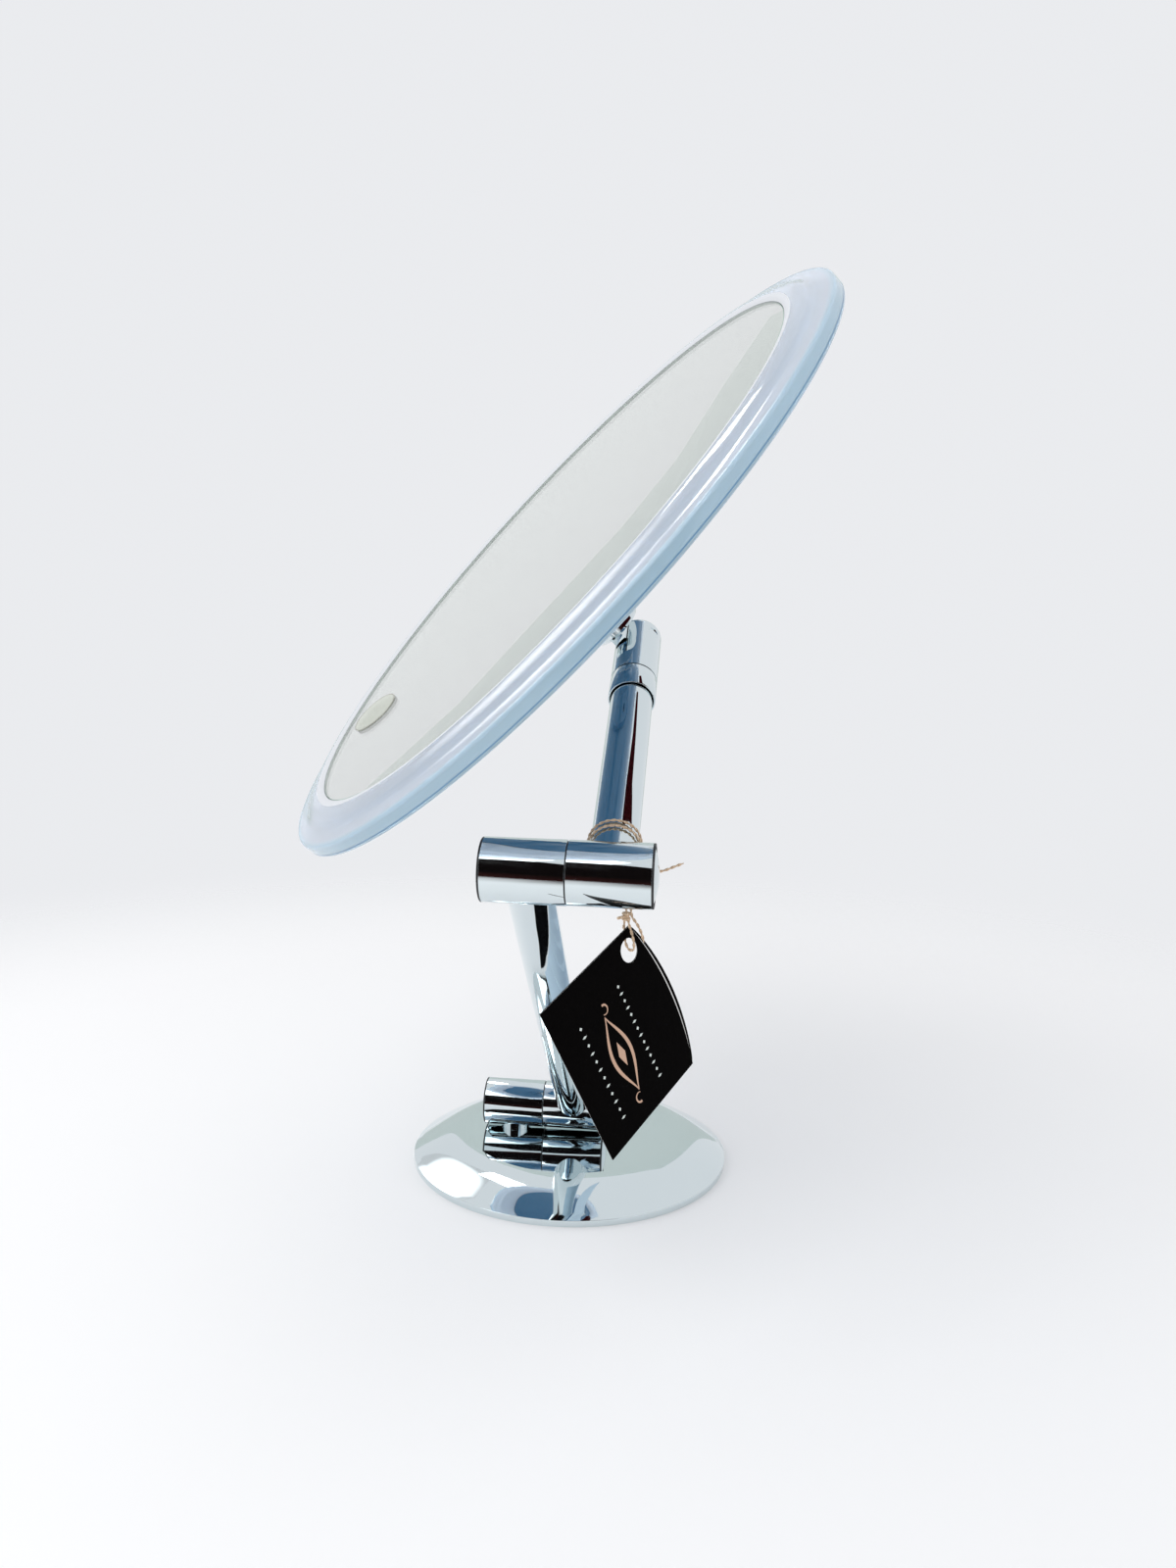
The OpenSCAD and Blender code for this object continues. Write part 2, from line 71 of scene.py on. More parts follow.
# ---------------------------------------------------------------- where the joints are at rest
BASE_X, BASE_HEIGHT = -0.0095, 0.0185
LOWER_LENGTH, LOWER_ANGLE = 0.172, math.radians(138.5)
ELBOW_X, UPPER_X, UPPER_ANGLE = 0.0124, 0.02335, math.radians(33.5)
TO_TILT_PIN, TO_RING_BACK = 0.105, 0.038
SWIVEL, TILT = math.radians(225.5), math.radians(84.5)
elbow_y = LOWER_LENGTH * math.cos(LOWER_ANGLE)
elbow_z = BASE_HEIGHT + LOWER_LENGTH * math.sin(LOWER_ANGLE)
base = Vector((BASE_X, 0, BASE_HEIGHT))
elbow = Vector((ELBOW_X, elbow_y, elbow_z))
upper_root = Vector((UPPER_X, elbow_y, elbow_z))
along_upper = Matrix.Translation(upper_root) @ Matrix.Rotation(UPPER_ANGLE - math.pi / 2, 4, "X")
tilt_pin = along_upper @ Matrix.Translation((0, 0, TO_TILT_PIN))
head = tilt_pin @ Matrix.Rotation(SWIVEL, 4, "Z") @ Matrix.Rotation(TILT, 4, "Y")
ring_frame = head @ Matrix.Translation((0, 0, TO_RING_BACK))


# ---------------------------------------------------------------- meshes
def piece(name, mesh, body, replaced=(), matrix=None):
    """An object that rides with body, in place of the replaced nodes."""
    if matrix is not None:
        mesh.transform(matrix)
    obj = bpy.data.objects.new(name, mesh)
    scene.collection.objects.link(obj)
    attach(obj, body)
    if replaced:
        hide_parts(*replaced)
    return obj


def finished_mesh(name, bm):
    mesh = bpy.data.meshes.new(name)
    bm.to_mesh(mesh)
    bm.free()
    return mesh


def lathe(name, profile, steps, closed=True):
    """A surface of revolution about Z. profile lists (radius, height, material index) in millimetres."""
    ON_AXIS, SHARP = 1e-6, math.radians(35)
    bm = bmesh.new()
    rings = []
    for r, z, _ in profile:
        if r < ON_AXIS:
            rings.append([bm.verts.new((0, 0, z * MM))])
        else:
            turns = [2 * math.pi * k / steps for k in range(steps)]
            rings.append([bm.verts.new((r * MM * math.cos(a), r * MM * math.sin(a), z * MM)) for a in turns])
    pairs = list(zip(range(len(rings)), list(range(1, len(rings))) + [0]))
    if not closed:
        pairs = pairs[:-1]
    for a, b in pairs:
        lower, upper = rings[a], rings[b]
        for k in range(steps):
            n = (k + 1) % steps
            if len(lower) == 1:
                face = bm.faces.new((lower[0], upper[n], upper[k]))
            elif len(upper) == 1:
                face = bm.faces.new((lower[k], lower[n], upper[0]))
            else:
                face = bm.faces.new((lower[k], lower[n], upper[n], upper[k]))
            face.material_index = profile[a][2]
            face.smooth = True
    bmesh.ops.recalc_face_normals(bm, faces=bm.faces)
    mesh = finished_mesh(name, bm)
    mesh.set_sharp_from_angle(angle=SHARP)
    return mesh


def resample(points, step):
    """Points at equal steps along a smooth curve through the given ones."""
    FINER, SHORTEST, LEFT_OVER = 12, 1e-9, 0.3
    p = [Vector(q) for q in points]
    fine = []
    for i in range(len(p) - 1):
        a, b, c, d = p[max(i - 1, 0)], p[i], p[i + 1], p[min(i + 2, len(p) - 1)]
        for k in range(FINER):
            t = k / FINER
            fine.append(0.5 * ((2 * b) + (c - a) * t + (2 * a - 5 * b + 4 * c - d) * t * t
                               + (3 * b - a - 3 * c + d) * t ** 3))
    fine.append(p[-1])
    out, gone, last = [fine[0]], 0.0, fine[0]
    for q in fine[1:]:
        while (q - last).length > SHORTEST and gone + (q - last).length >= step:
            last = last + (q - last).normalized() * (step - gone)
            out.append(last.copy())
            gone = 0.0
        gone += (q - last).length
        last = q
    if (out[-1] - fine[-1]).length > step * LEFT_OVER:
        out.append(fine[-1])
    return out


def sweep(name, path, section, pitch):
    """A solid along path. section(i, n) gives the outline's points, which turn once in each pitch."""
    bm = bmesh.new()
    n = len(path)
    tangents = [(path[min(i + 1, n - 1)] - path[max(i - 1, 0)]).normalized() for i in range(n)]
    side = tangents[0].orthogonal().normalized()
    rings, gone = [], 0.0
    for i in range(n):
        if i:
            gone += (path[i] - path[i - 1]).length
        side = (side - tangents[i] * side.dot(tangents[i])).normalized()
        other = tangents[i].cross(side)
        angle = 2 * math.pi / pitch * gone
        c, s = math.cos(angle), math.sin(angle)
        rings.append([bm.verts.new(path[i] + side * (x * c - y * s) + other * (x * s + y * c))
                      for x, y in section(i, n)])
    for a, b in zip(rings, rings[1:]):
        for k in range(len(a)):
            m = (k + 1) % len(a)
            bm.faces.new((a[k], a[m], b[m], b[k])).smooth = True
    bm.faces.new(list(reversed(rings[0])))
    bm.faces.new(rings[-1])
    bmesh.ops.recalc_face_normals(bm, faces=bm.faces)
    return finished_mesh(name, bm)


# ---------------------------------------------------------------- twine
TWINE = 0.0008                          # thickness
TWIST_PITCH, PATH_STEP = 0.0034, 0.0003
TURN_R, TURN_POINTS = 6.95, 32          # of the turns round the upper arm, in mm
TURN_START, TURN_SWEEP = 30, 680        # degrees
TURN_PLACE, TURN_SLANT, TURN_SPREAD = 10.5, 1.2, 1.9    # along the arm, in mm
PLY_R, PLY_OUT, PLY_TALL = 0.265, 0.92, 0.98            # of the thickness, then of the ply's radius
PLY_ARC, PLY_POINTS = 230, 9
END_SIZE, END_STEPS = 0.35, 3           # how far and how fast the ends taper


def on_arm(x, y, s):
    """A point beside the upper arm: x across, y below and s along it, in millimetres."""
    cos, sin = math.cos(UPPER_ANGLE), math.sin(UPPER_ANGLE)
    return Vector((upper_root.x + x * MM, upper_root.y + (s * cos + y * sin) * MM,
                   upper_root.z + (s * sin - y * cos) * MM))


def two_ply(i, n):
    """Two round plies side by side, as one outline."""
    size = min(1.0, END_SIZE + (1 - END_SIZE) * min(i, n - 1 - i) / END_STEPS)
    ply = TWINE * PLY_R
    out = []
    for centre, middle in ((ply * PLY_OUT, 0), (-ply * PLY_OUT, 180)):
        for k in range(PLY_POINTS):
            a = math.radians(middle - PLY_ARC / 2 + PLY_ARC * k / (PLY_POINTS - 1))
            out.append(((centre + ply * math.cos(a)) * size, ply * PLY_TALL * math.sin(a) * size))
    return out


def strand(name, path, replaced):
    return piece(name, sweep(name, path, two_ply, TWIST_PITCH), "upper_arm", [replaced])


turns = []
for i in range(TURN_POINTS):
    t = i / (TURN_POINTS - 1)
    a = math.radians(TURN_START - TURN_SWEEP * t)
    turns.append(on_arm(TURN_R * math.sin(a), TURN_R * math.cos(a),
                        TURN_PLACE - TURN_SLANT * math.cos(a) + TURN_SPREAD * (2 * t - 1)))
free_end = [(0.0415, -0.1145, 0.1335), (0.039, -0.1148, 0.1325), (0.0365, -0.1152, 0.1315),
            (0.034, -0.1156, 0.131), (0.0315, -0.116, 0.131), (0.029, -0.117, 0.1313)]
down_to_tag = [(0.0298, -0.1182, 0.134), (0.0293, -0.1183, 0.1315), (0.0282, -0.1186, 0.129),
               (0.0274, -0.119, 0.1265), (0.027, -0.1194, 0.124), (0.0269, -0.1199, 0.1218),
               (0.0274, -0.1207, 0.1199), (0.0279, -0.1214, 0.1178), (0.0286, -0.1217, 0.1158),
               (0.0291, -0.1218, 0.1139), (0.0293, -0.1216, 0.1122), (0.0291, -0.1211, 0.1112),
               (0.0286, -0.1207, 0.1109), (0.0279, -0.1202, 0.111), (0.0272, -0.1197, 0.1119),
               (0.0267, -0.1194, 0.1135), (0.0265, -0.1195, 0.1154), (0.0264, -0.1198, 0.1173),
               (0.0266, -0.1202, 0.1188)]
second_route = [(0.032, -0.124, 0.114), (0.0312, -0.1234, 0.1164), (0.03, -0.1224, 0.1184),
                (0.0286, -0.1212, 0.12), (0.0282, -0.1202, 0.1218), (0.0283, -0.1193, 0.124),
                (0.0286, -0.1188, 0.1265), (0.0293, -0.1182, 0.1288), (0.0303, -0.1174, 0.1302)]
twine_path = resample(free_end + [tuple(p) for p in turns] + down_to_tag, PATH_STEP)
twine = strand("twine_main", twine_path, "twine")
tail = strand("twine_second", resample(second_route, PATH_STEP), "twine_tail")


# ---------------------------------------------------------------- shader nodes
def material(name, **sockets):
    """A principled material, its node tree and its shader. Underlines in a socket's name stand for spaces."""
    m = bpy.data.materials.new(name)
    m.use_nodes = True
    tree = m.node_tree
    tree.nodes.clear()
    out = tree.nodes.new("ShaderNodeOutputMaterial")
    bsdf = tree.nodes.new("ShaderNodeBsdfPrincipled")
    tree.links.new(bsdf.outputs[0], out.inputs[0])
    for socket, value in sockets.items():
        bsdf.inputs[socket.replace("_", " ")].default_value = value
    return m, tree, bsdf


def add(tree, kind, **values):
    node = tree.nodes.new(kind)
    for key, value in values.items():
        if key in node.inputs:
            node.inputs[key].default_value = value
        else:
            setattr(node, key, value)
    return node


def place(tree):
    return add(tree, "ShaderNodeTexCoord").outputs["Object"]


def vector_math(tree, operation, source, fixed=None):
    node = add(tree, "ShaderNodeVectorMath", operation=operation)
    tree.links.new(source, node.inputs[0])
    if fixed is not None:
        node.inputs[1].default_value = fixed
    return node.outputs["Vector" if operation == "SUBTRACT" else "Value"]


def scalar_math(tree, operation, one, two):
    node = add(tree, "ShaderNodeMath", operation=operation)
    tree.links.new(one, node.inputs[0])
    tree.links.new(two, node.inputs[1])
    return node.outputs[0]


def noise(tree, scale, detail=4.0, roughness=0.5):
    node = add(tree, "ShaderNodeTexNoise", Scale=scale, Detail=detail, Roughness=roughness)
    tree.links.new(place(tree), node.inputs["Vector"])
    return node.outputs["Fac"]


def ramp(tree, source, low, high, start=0.3, end=0.7):
    node = add(tree, "ShaderNodeMapRange")
    node.inputs["From Min"].default_value = start
    node.inputs["From Max"].default_value = end
    node.inputs["To Min"].default_value = low
    node.inputs["To Max"].default_value = high
    tree.links.new(source, node.inputs["Value"])
    return node.outputs["Result"]


def mix_colour(tree, fac, a, b):
    """Between two colours, of which the first may be a socket."""
    node = add(tree, "ShaderNodeMix", data_type="RGBA")
    tree.links.new(fac, node.inputs[0])
    if isinstance(a, tuple):
        node.inputs[6].default_value = (*a, 1)
    else:
        tree.links.new(a, node.inputs[6])
    node.inputs[7].default_value = (*b, 1)
    return node.outputs[2]


def bump(tree, bsdf, height, distance, strength):
    node = add(tree, "ShaderNodeBump", Strength=strength, Distance=distance)
    tree.links.new(height, node.inputs["Height"])
    tree.links.new(node.outputs[0], bsdf.inputs["Normal"])


def mottled(name, scale, low, high, **sockets):
    """A material whose colour wanders between two."""
    m, tree, bsdf = material(name, **sockets)
    tree.links.new(mix_colour(tree, noise(tree, scale), low, high), bsdf.inputs["Base Color"])
    return m, tree, bsdf


def polish(tree, bsdf, low, high):
    """The fine smears and waviness of a polished surface."""
    tree.links.new(ramp(tree, noise(tree, 240, 6, 0.65), low, high), bsdf.inputs["Roughness"])
    bump(tree, bsdf, noise(tree, 90, 3), 0.00001, 0.35)


def metal(name, low, high, rough):
    m, tree, bsdf = mottled(name, 60, low, high, Metallic=1)
    polish(tree, bsdf, rough * 0.6, rough * 1.8)
    return m


def plastic(name, low, high, rough, scale=300):
    m, tree, bsdf = mottled(name, scale, low, high)
    tree.links.new(ramp(tree, noise(tree, scale * 2), rough * 0.8, rough * 1.2), bsdf.inputs["Roughness"])
    bump(tree, bsdf, noise(tree, scale * 8, 2), 0.00002, 0.3)
    return m


# ---------------------------------------------------------------- materials
CHROME = metal("polished_chrome", (0.70, 0.77, 0.79), (0.73, 0.80, 0.82), 0.03)
STEEL = metal("turned_steel", (0.42, 0.42, 0.43), (0.52, 0.52, 0.53), 0.28)
NYLON = plastic("nylon", (0.78, 0.78, 0.74), (0.84, 0.84, 0.80), 0.45)
DARK_NYLON = plastic("dark_nylon", (0.02, 0.02, 0.022), (0.03, 0.03, 0.032), 0.4)
SHELL = plastic("steel_blue_shell", (0.045, 0.145, 0.27), (0.055, 0.165, 0.30), 0.22, 120)
FOAM = plastic("foam", (0.09, 0.09, 0.09), (0.14, 0.14, 0.14), 0.9, 900)

GLASS, t, b = mottled("mirror_glass", 8, (0.985, 0.995, 0.985), (0.99, 1.0, 0.99),
                      Transmission_Weight=1, IOR=1.52)
t.links.new(ramp(t, noise(t, 500, 5), 0.0, 0.004), b.inputs["Roughness"])
GLASS_EDGE = mottled("ground_glass_edge", 900, (0.42, 0.55, 0.48), (0.50, 0.62, 0.55),
                     Roughness=0.5, Specular_IOR_Level=0.2)[0]
SILVER = mottled("silvering", 30, (0.95, 0.965, 0.94), (0.97, 0.985, 0.96), Metallic=1, Roughness=0)[0]

# the clear ring is bluer at its rim, and has a painted glow, faint over the whole ring and stronger at its
# rim
RIM_FROM, RIM_TO = 0.1128, 0.1146
ACRYLIC, t, b = material("clear_acrylic", Transmission_Weight=0.6, IOR=1.49, Subsurface_Weight=0.6,
                         Subsurface_Radius=(1.0, 1.0, 1.0), Subsurface_Scale=0.008)
rim = ramp(t, vector_math(t, "DISTANCE", place(t), ring_frame.translation), 0, 1, RIM_FROM, RIM_TO)
t.links.new(mix_colour(t, rim, (0.78, 0.86, 1.0), (0.60, 0.81, 0.98)), b.inputs["Base Color"])
t.links.new(ramp(t, noise(t, 400, 5), 0.03, 0.08), b.inputs["Roughness"])
# painted glow: emission, not lamp light, that brightens the ring's face and more so its rim
t.links.new(mix_colour(t, rim, (0.9, 0.93, 1.0), (0.55, 0.8, 1.0)), b.inputs["Emission Color"])
t.links.new(ramp(t, rim, 0.02, 0.06, 0, 1), b.inputs["Emission Strength"])
LIP = mottled("frosted_lip", 400, (0.70, 0.715, 0.74), (0.73, 0.745, 0.77),
              Roughness=1, Specular_IOR_Level=0)[0]
BACK_LINE = mottled("blue_edge", 200, (0.11, 0.24, 0.39), (0.14, 0.28, 0.44), Roughness=0.3)[0]

# the oval label, with a darker outline at LABEL_LINE of its size, squared
LABEL_SIZE, LABEL_LINE = (0.026, 0.0175), (0.84, 0.92)
LABEL_OUT, LABEL_HEIGHT = 0.083, 0.0432
LABEL_TURN, LABEL_SLANT = math.radians(276.2), math.radians(45)
STICKER, t, b = material("label", Roughness=0.4, Alpha=0.5)
label_centre = head @ Vector((LABEL_OUT * math.cos(LABEL_TURN), LABEL_OUT * math.sin(LABEL_TURN),
                              LABEL_HEIGHT))
from_centre = vector_math(t, "SUBTRACT", place(t), label_centre)
squares = []
for angle, size in ((LABEL_SLANT, LABEL_SIZE[0]), (LABEL_SLANT + math.pi / 2, LABEL_SIZE[1])):
    axis = head.to_3x3() @ Vector((math.cos(angle), math.sin(angle), 0)) / (size / 2)
    along = vector_math(t, "DOT_PRODUCT", from_centre, axis)
    squares.append(scalar_math(t, "MULTIPLY", along, along))
label_line = ramp(t, scalar_math(t, "ADD", *squares), 0, 1, *LABEL_LINE)
paper = mix_colour(t, noise(t, 150), (0.64, 0.67, 0.585), (0.70, 0.73, 0.635))
t.links.new(mix_colour(t, label_line, paper, (0.40, 0.41, 0.34)), b.inputs["Base Color"])

CARD, t, b = mottled("black_card", 700, (0.0012, 0.001, 0.001), (0.003, 0.0025, 0.0025),
                     Specular_IOR_Level=0.01)
t.links.new(ramp(t, noise(t, 1500), 0.22, 0.3), b.inputs["Roughness"])
bump(t, b, noise(t, 4000, 2), 0.00002, 0.3)
CARD_CORE = mottled("card_core", 900, (0.70, 0.69, 0.67), (0.82, 0.81, 0.79), Roughness=0.8)[0]
ROSE_GOLD = mottled("rose_gold_print", 1200, (0.56, 0.35, 0.24), (0.66, 0.43, 0.31),
                    Metallic=0.35, Roughness=0.38)[0]
PALE_INK = mottled("pale_print", 1200, (0.60, 0.66, 0.62), (0.72, 0.78, 0.74), Roughness=0.5)[0]

TWINE_GOLD, t, b = material("gold_twine", Metallic=0.2, Roughness=0.4)
fibre = add(t, "ShaderNodeTexWave", Scale=900.0, Distortion=6.0, Detail=3.0)
t.links.new(place(t), fibre.inputs["Vector"])
strands = fibre.outputs["Fac"]
t.links.new(mix_colour(t, strands, (0.52, 0.31, 0.18), (0.95, 0.76, 0.55)), b.inputs["Base Color"])
bump(t, b, strands, 0.00006, 0.8)

# the boss is chrome at its neck and painted like the shell at its foot
NECK_END, FOOT_START = 0.0165, 0.0185
BOSS, t, b = material("boss_chrome")
foot = ramp(t, vector_math(t, "DISTANCE", place(t), tilt_pin.translation), 0, 1, NECK_END, FOOT_START)
t.links.new(mix_colour(t, foot, (0.72, 0.79, 0.81), (0.05, 0.155, 0.285)), b.inputs["Base Color"])
t.links.new(ramp(t, foot, 1, 0, 0, 1), b.inputs["Metallic"])
polish(t, b, 0.02, 0.05)

looks = {
    BOSS: "head_boss",
    CHROME: "cover_plate post base_half_fixed base_half_turning base_cap_left base_cap_right lower_arm_tube "
            "elbow_half_lower elbow_half_upper elbow_cap_left elbow_cap_right upper_arm_tube swivel_collar "
            "swivel_sleeve tilt_pin",
    STEEL: "wall_bracket grub_screw post_screw base_pivot_bolt base_pivot_nut base_spring_washers "
           "elbow_pivot_bolt elbow_pivot_nut elbow_spring_washers swivel_stud swivel_nut swivel_spring "
           "boss_screws",
    DARK_NYLON: "base_seam_washer elbow_seam_washer",
    NYLON: "swivel_washer tilt_washers",
    SHELL: "back_shell", FOAM: "foam_ring", STICKER: "magnification_sticker",
    CARD: "tag_front_leaf tag_back_leaf", TWINE_GOLD: "twine twine_tail twine_knot",
    ACRYLIC: "clear_ring", GLASS: "mirror_glass", SILVER: "mirror_silvering"}
for look, names in looks.items():
    for name in names.split():
        for s in nodes[name].material_slots:
            s.material = look


def wear(obj, *materials):
    for m in materials:
        obj.data.materials.append(m)


wear(twine, TWINE_GOLD)
wear(tail, TWINE_GOLD)

# ---------------------------------------------------------------- head, in millimetres from the ring's back
GLASS_R, SAG, FRONT, THICK, GROUND = 99.5, 5.0, 7.0, 3.0, 0.15
RING_R, BAND, CORNER_R, LINE_TOP = 115.0, 4.8, 1, 1.35
BORE_R, FLAT_R, RELIEF = 80.0, 100.0, 0.02
LIP_CREST, GLUE, SIDE_GAP = 102.4, 0.25, 0.2
FACE_STEPS, SEAT_STEPS, CORNER_STEPS, LIP_STEP, ROUND_STEPS = 48, 16, 6, 0.35, 384
bowl_r = (GLASS_R ** 2 + SAG ** 2) / (2 * SAG)


def bowl(r):
    return FRONT - SAG + bowl_r - math.sqrt(bowl_r ** 2 - r * r)


def under_glass(r):
    return bowl(min(r, GLASS_R)) - THICK - GLUE


def corner(z, start):
    """The quarter circle of the ring's outer edge about height z, without its last point."""
    angles = [math.radians(start + 90 * i / CORNER_STEPS) for i in range(CORNER_STEPS)]
    return [(RING_R - CORNER_R + CORNER_R * math.cos(a), z + CORNER_R * math.sin(a), 0) for a in angles]


radii = [GLASS_R * i / FACE_STEPS for i in range(FACE_STEPS + 1)]
face = [(r, bowl(r), 0) for r in radii[:-1]]
face += [(GLASS_R - GROUND, bowl(GLASS_R - GROUND), 1), (GLASS_R, bowl(GLASS_R) - GROUND, 1)]
back = [(r, bowl(r) - THICK, 2) for r in reversed(radii)]
glass = piece("mirror_plate", lathe("mirror_plate", face + back, ROUND_STEPS, closed=False), "head",
              ["mirror_glass", "mirror_silvering"], ring_frame)
wear(glass, GLASS, GLASS_EDGE, SILVER)

lip = resample([(RING_R - CORNER_R, BAND, 0), (112, 4.95, 0), (109.6, 5.3, 0), (108.2, 5.95, 0),
                (107, 6.65, 0), (104.7, 7.35, 0), (LIP_CREST, 7.65, 0), (101, 7.6, 0), (100.2, 7.3, 0)],
               LIP_STEP)
seat = [BORE_R + (GLASS_R - BORE_R) * i / SEAT_STEPS for i in range(SEAT_STEPS)]
outline = [(BORE_R, RELIEF, 0), (FLAT_R, 0.0, 0)] + corner(CORNER_R, -90)
outline += [(RING_R, CORNER_R, 2), (RING_R, LINE_TOP, 0)] + corner(BAND - CORNER_R, 0)
outline += [(q.x, q.y, 1 if q.x < LIP_CREST else 0) for q in lip]
outline += [(GLASS_R + SIDE_GAP, FRONT, 1), (GLASS_R + SIDE_GAP, under_glass(GLASS_R), 0)]
outline += [(r, under_glass(r), 0) for r in reversed(seat)]
ring = piece("acrylic_ring", lathe("acrylic_ring", outline, ROUND_STEPS), "head", ["clear_ring"], ring_frame)
wear(ring, ACRYLIC, LIP, BACK_LINE)

# ---------------------------------------------------------------- tag, in millimetres from its hole's centre
HOLE = Vector((0.02785, -0.1216, 0.111))
TAG_TURN, TAG_LEAN, TAG_ROLL = math.radians(51.8), math.radians(90 - 10.8), math.radians(25)
CORNER, TAG_W, TAG_H, BULGE, HOLE_R = (3.6, 5.3), 38.3, 45.0, 3.5, 3.3
EDGE_R = TAG_H ** 2 / (8 * BULGE) + BULGE / 2
EDGE_STEPS, HOLE_STEPS = 40, 64
BACK_Z, LINER_Z, FRONT_Z, TOP_Z = -0.25, 0.05, 0.1, 0.4
LINER_GROW, BACK_GROW, BACK_SHIFT = 0.65, 1.45, 0.25
INK = (0.401, 0.43)
tag_frame = (Matrix.Translation(HOLE) @ Matrix.Rotation(TAG_TURN, 4, "Z")
             @ Matrix.Rotation(TAG_LEAN, 4, "X") @ Matrix.Rotation(TAG_ROLL, 4, "Z"))


def leaf_outline(grow=0.0):
    """A leaf with one bulging edge, which stands out by up to grow."""
    cx, cy = CORNER[0] + BULGE - EDGE_R, CORNER[1] - TAG_H / 2
    half = math.asin((TAG_H / 2) / EDGE_R)
    bulging = [(cx + EDGE_R * math.cos(half - 2 * half * i / EDGE_STEPS)
                + grow * math.sin(math.pi * i / EDGE_STEPS) ** 0.5,
                cy + EDGE_R * math.sin(half - 2 * half * i / EDGE_STEPS)) for i in range(EDGE_STEPS + 1)]
    left = CORNER[0] - TAG_W
    return bulging + [(left, CORNER[1] - TAG_H), (left, CORNER[1])]


def plate(name, loops, z0, z1, shift=0.0):
    """A flat sheet from z0 to z1. loops are closed outlines, the first one the outside."""
    bm = bmesh.new()
    edges = []
    for loop in loops:
        corners = [bm.verts.new(((x + shift) * MM, y * MM, z0 * MM)) for x, y in loop]
        edges += [bm.edges.new((corners[i], corners[(i + 1) % len(loop)])) for i in range(len(loop))]
    bmesh.ops.triangle_fill(bm, use_beauty=True, edges=edges)
    lifted = bmesh.ops.extrude_face_region(bm, geom=list(bm.faces))
    bmesh.ops.translate(bm, vec=(0, 0, (z1 - z0) * MM),
                        verts=[g for g in lifted["geom"] if isinstance(g, bmesh.types.BMVert)])
    bmesh.ops.recalc_face_normals(bm, faces=bm.faces)
    return finished_mesh(name, bm)


hole = [(HOLE_R * math.cos(2 * math.pi * k / HOLE_STEPS), HOLE_R * math.sin(2 * math.pi * k / HOLE_STEPS))
        for k in range(HOLE_STEPS)]
front_leaf = piece("tag_front", plate("tag_front", [leaf_outline(), hole], FRONT_Z, TOP_Z), "upper_arm",
                   ["tag_front_leaf"], tag_frame)
liner = piece("tag_liner", plate("tag_liner", [leaf_outline(LINER_GROW), hole], LINER_Z, FRONT_Z),
              "upper_arm", (), tag_frame)
back_leaf = piece("tag_back", plate("tag_back", [leaf_outline(BACK_GROW), hole], BACK_Z, LINER_Z, BACK_SHIFT),
                  "upper_arm", ["tag_back_leaf"], tag_frame)
wear(front_leaf, CARD)
wear(liner, CARD_CORE)
wear(back_leaf, CARD)


def ribbon(points, widths):
    """Outline of a stroke along points, with a half width at each."""
    one, two = [], []
    for i, q in enumerate(points):
        a, b = points[max(i - 1, 0)], points[min(i + 1, len(points) - 1)]
        dx, dy = b[0] - a[0], b[1] - a[1]
        size = math.hypot(dx, dy)
        one.append((q[0] - dy / size * widths[i], q[1] + dx / size * widths[i]))
        two.append((q[0] + dy / size * widths[i], q[1] - dx / size * widths[i]))
    return one + two[::-1]


def diamond(x, y, wide, tall):
    return [(x, y + tall), (x + wide, y), (x, y - tall), (x - wide, y)]


def printed(name, outlines, ink):
    """Thin solids on the front leaf, joined into one piece."""
    bm = bmesh.new()
    for loop in outlines:
        bm.from_mesh(plate(name + "_part", [loop], *INK))
    obj = piece(name, finished_mesh(name, bm), "upper_arm", (), tag_frame)
    wear(obj, ink)


MARK_X, MARK_Y = -17.2, -20.1
LEAF_TOP, LEAF_LENGTH, LEAF_SWING, LEAF_POINTS = -8.6, 23, 3.6, 25
CURL_X, CURL_Y, CURL_R = 0.9, 11.9, 1.3
strokes = []
for side in (-1, 1):
    swell = [math.sin(math.pi * i / (LEAF_POINTS - 1)) for i in range(LEAF_POINTS)]
    points = [(MARK_X + side * LEAF_SWING * s ** 1.3, LEAF_TOP - LEAF_LENGTH * i / (LEAF_POINTS - 1))
              for i, s in enumerate(swell)]
    strokes.append(ribbon(points, [0.12 + 0.42 * s for s in swell]))
    curl = [(MARK_X + side * (CURL_X + CURL_R * math.sin(math.radians(a))),
             MARK_Y + side * (CURL_Y + CURL_R * (1 - math.cos(math.radians(a)))))
            for a in range(-40, 200, 12)]
    strokes.append(ribbon(curl, [0.1 + 0.22 * i / len(curl) for i in range(len(curl))]))
strokes.append(diamond(MARK_X, MARK_Y, 1.3, 3.7))
printed("tag_ornament", strokes, ROSE_GOLD)
dots = []
for x, y0, y1, count in ((-8.8, -5.2, -33.7, 14), (-25.7, -5.9, -33.5, 12)):
    for i in range(count):
        wide, tall = (0.85, 0.34) if i % 2 else (0.5, 0.5)
        dots.append(diamond(x, y0 + (y1 - y0) * i / (count - 1), wide, tall))
printed("tag_borders", dots, PALE_INK)

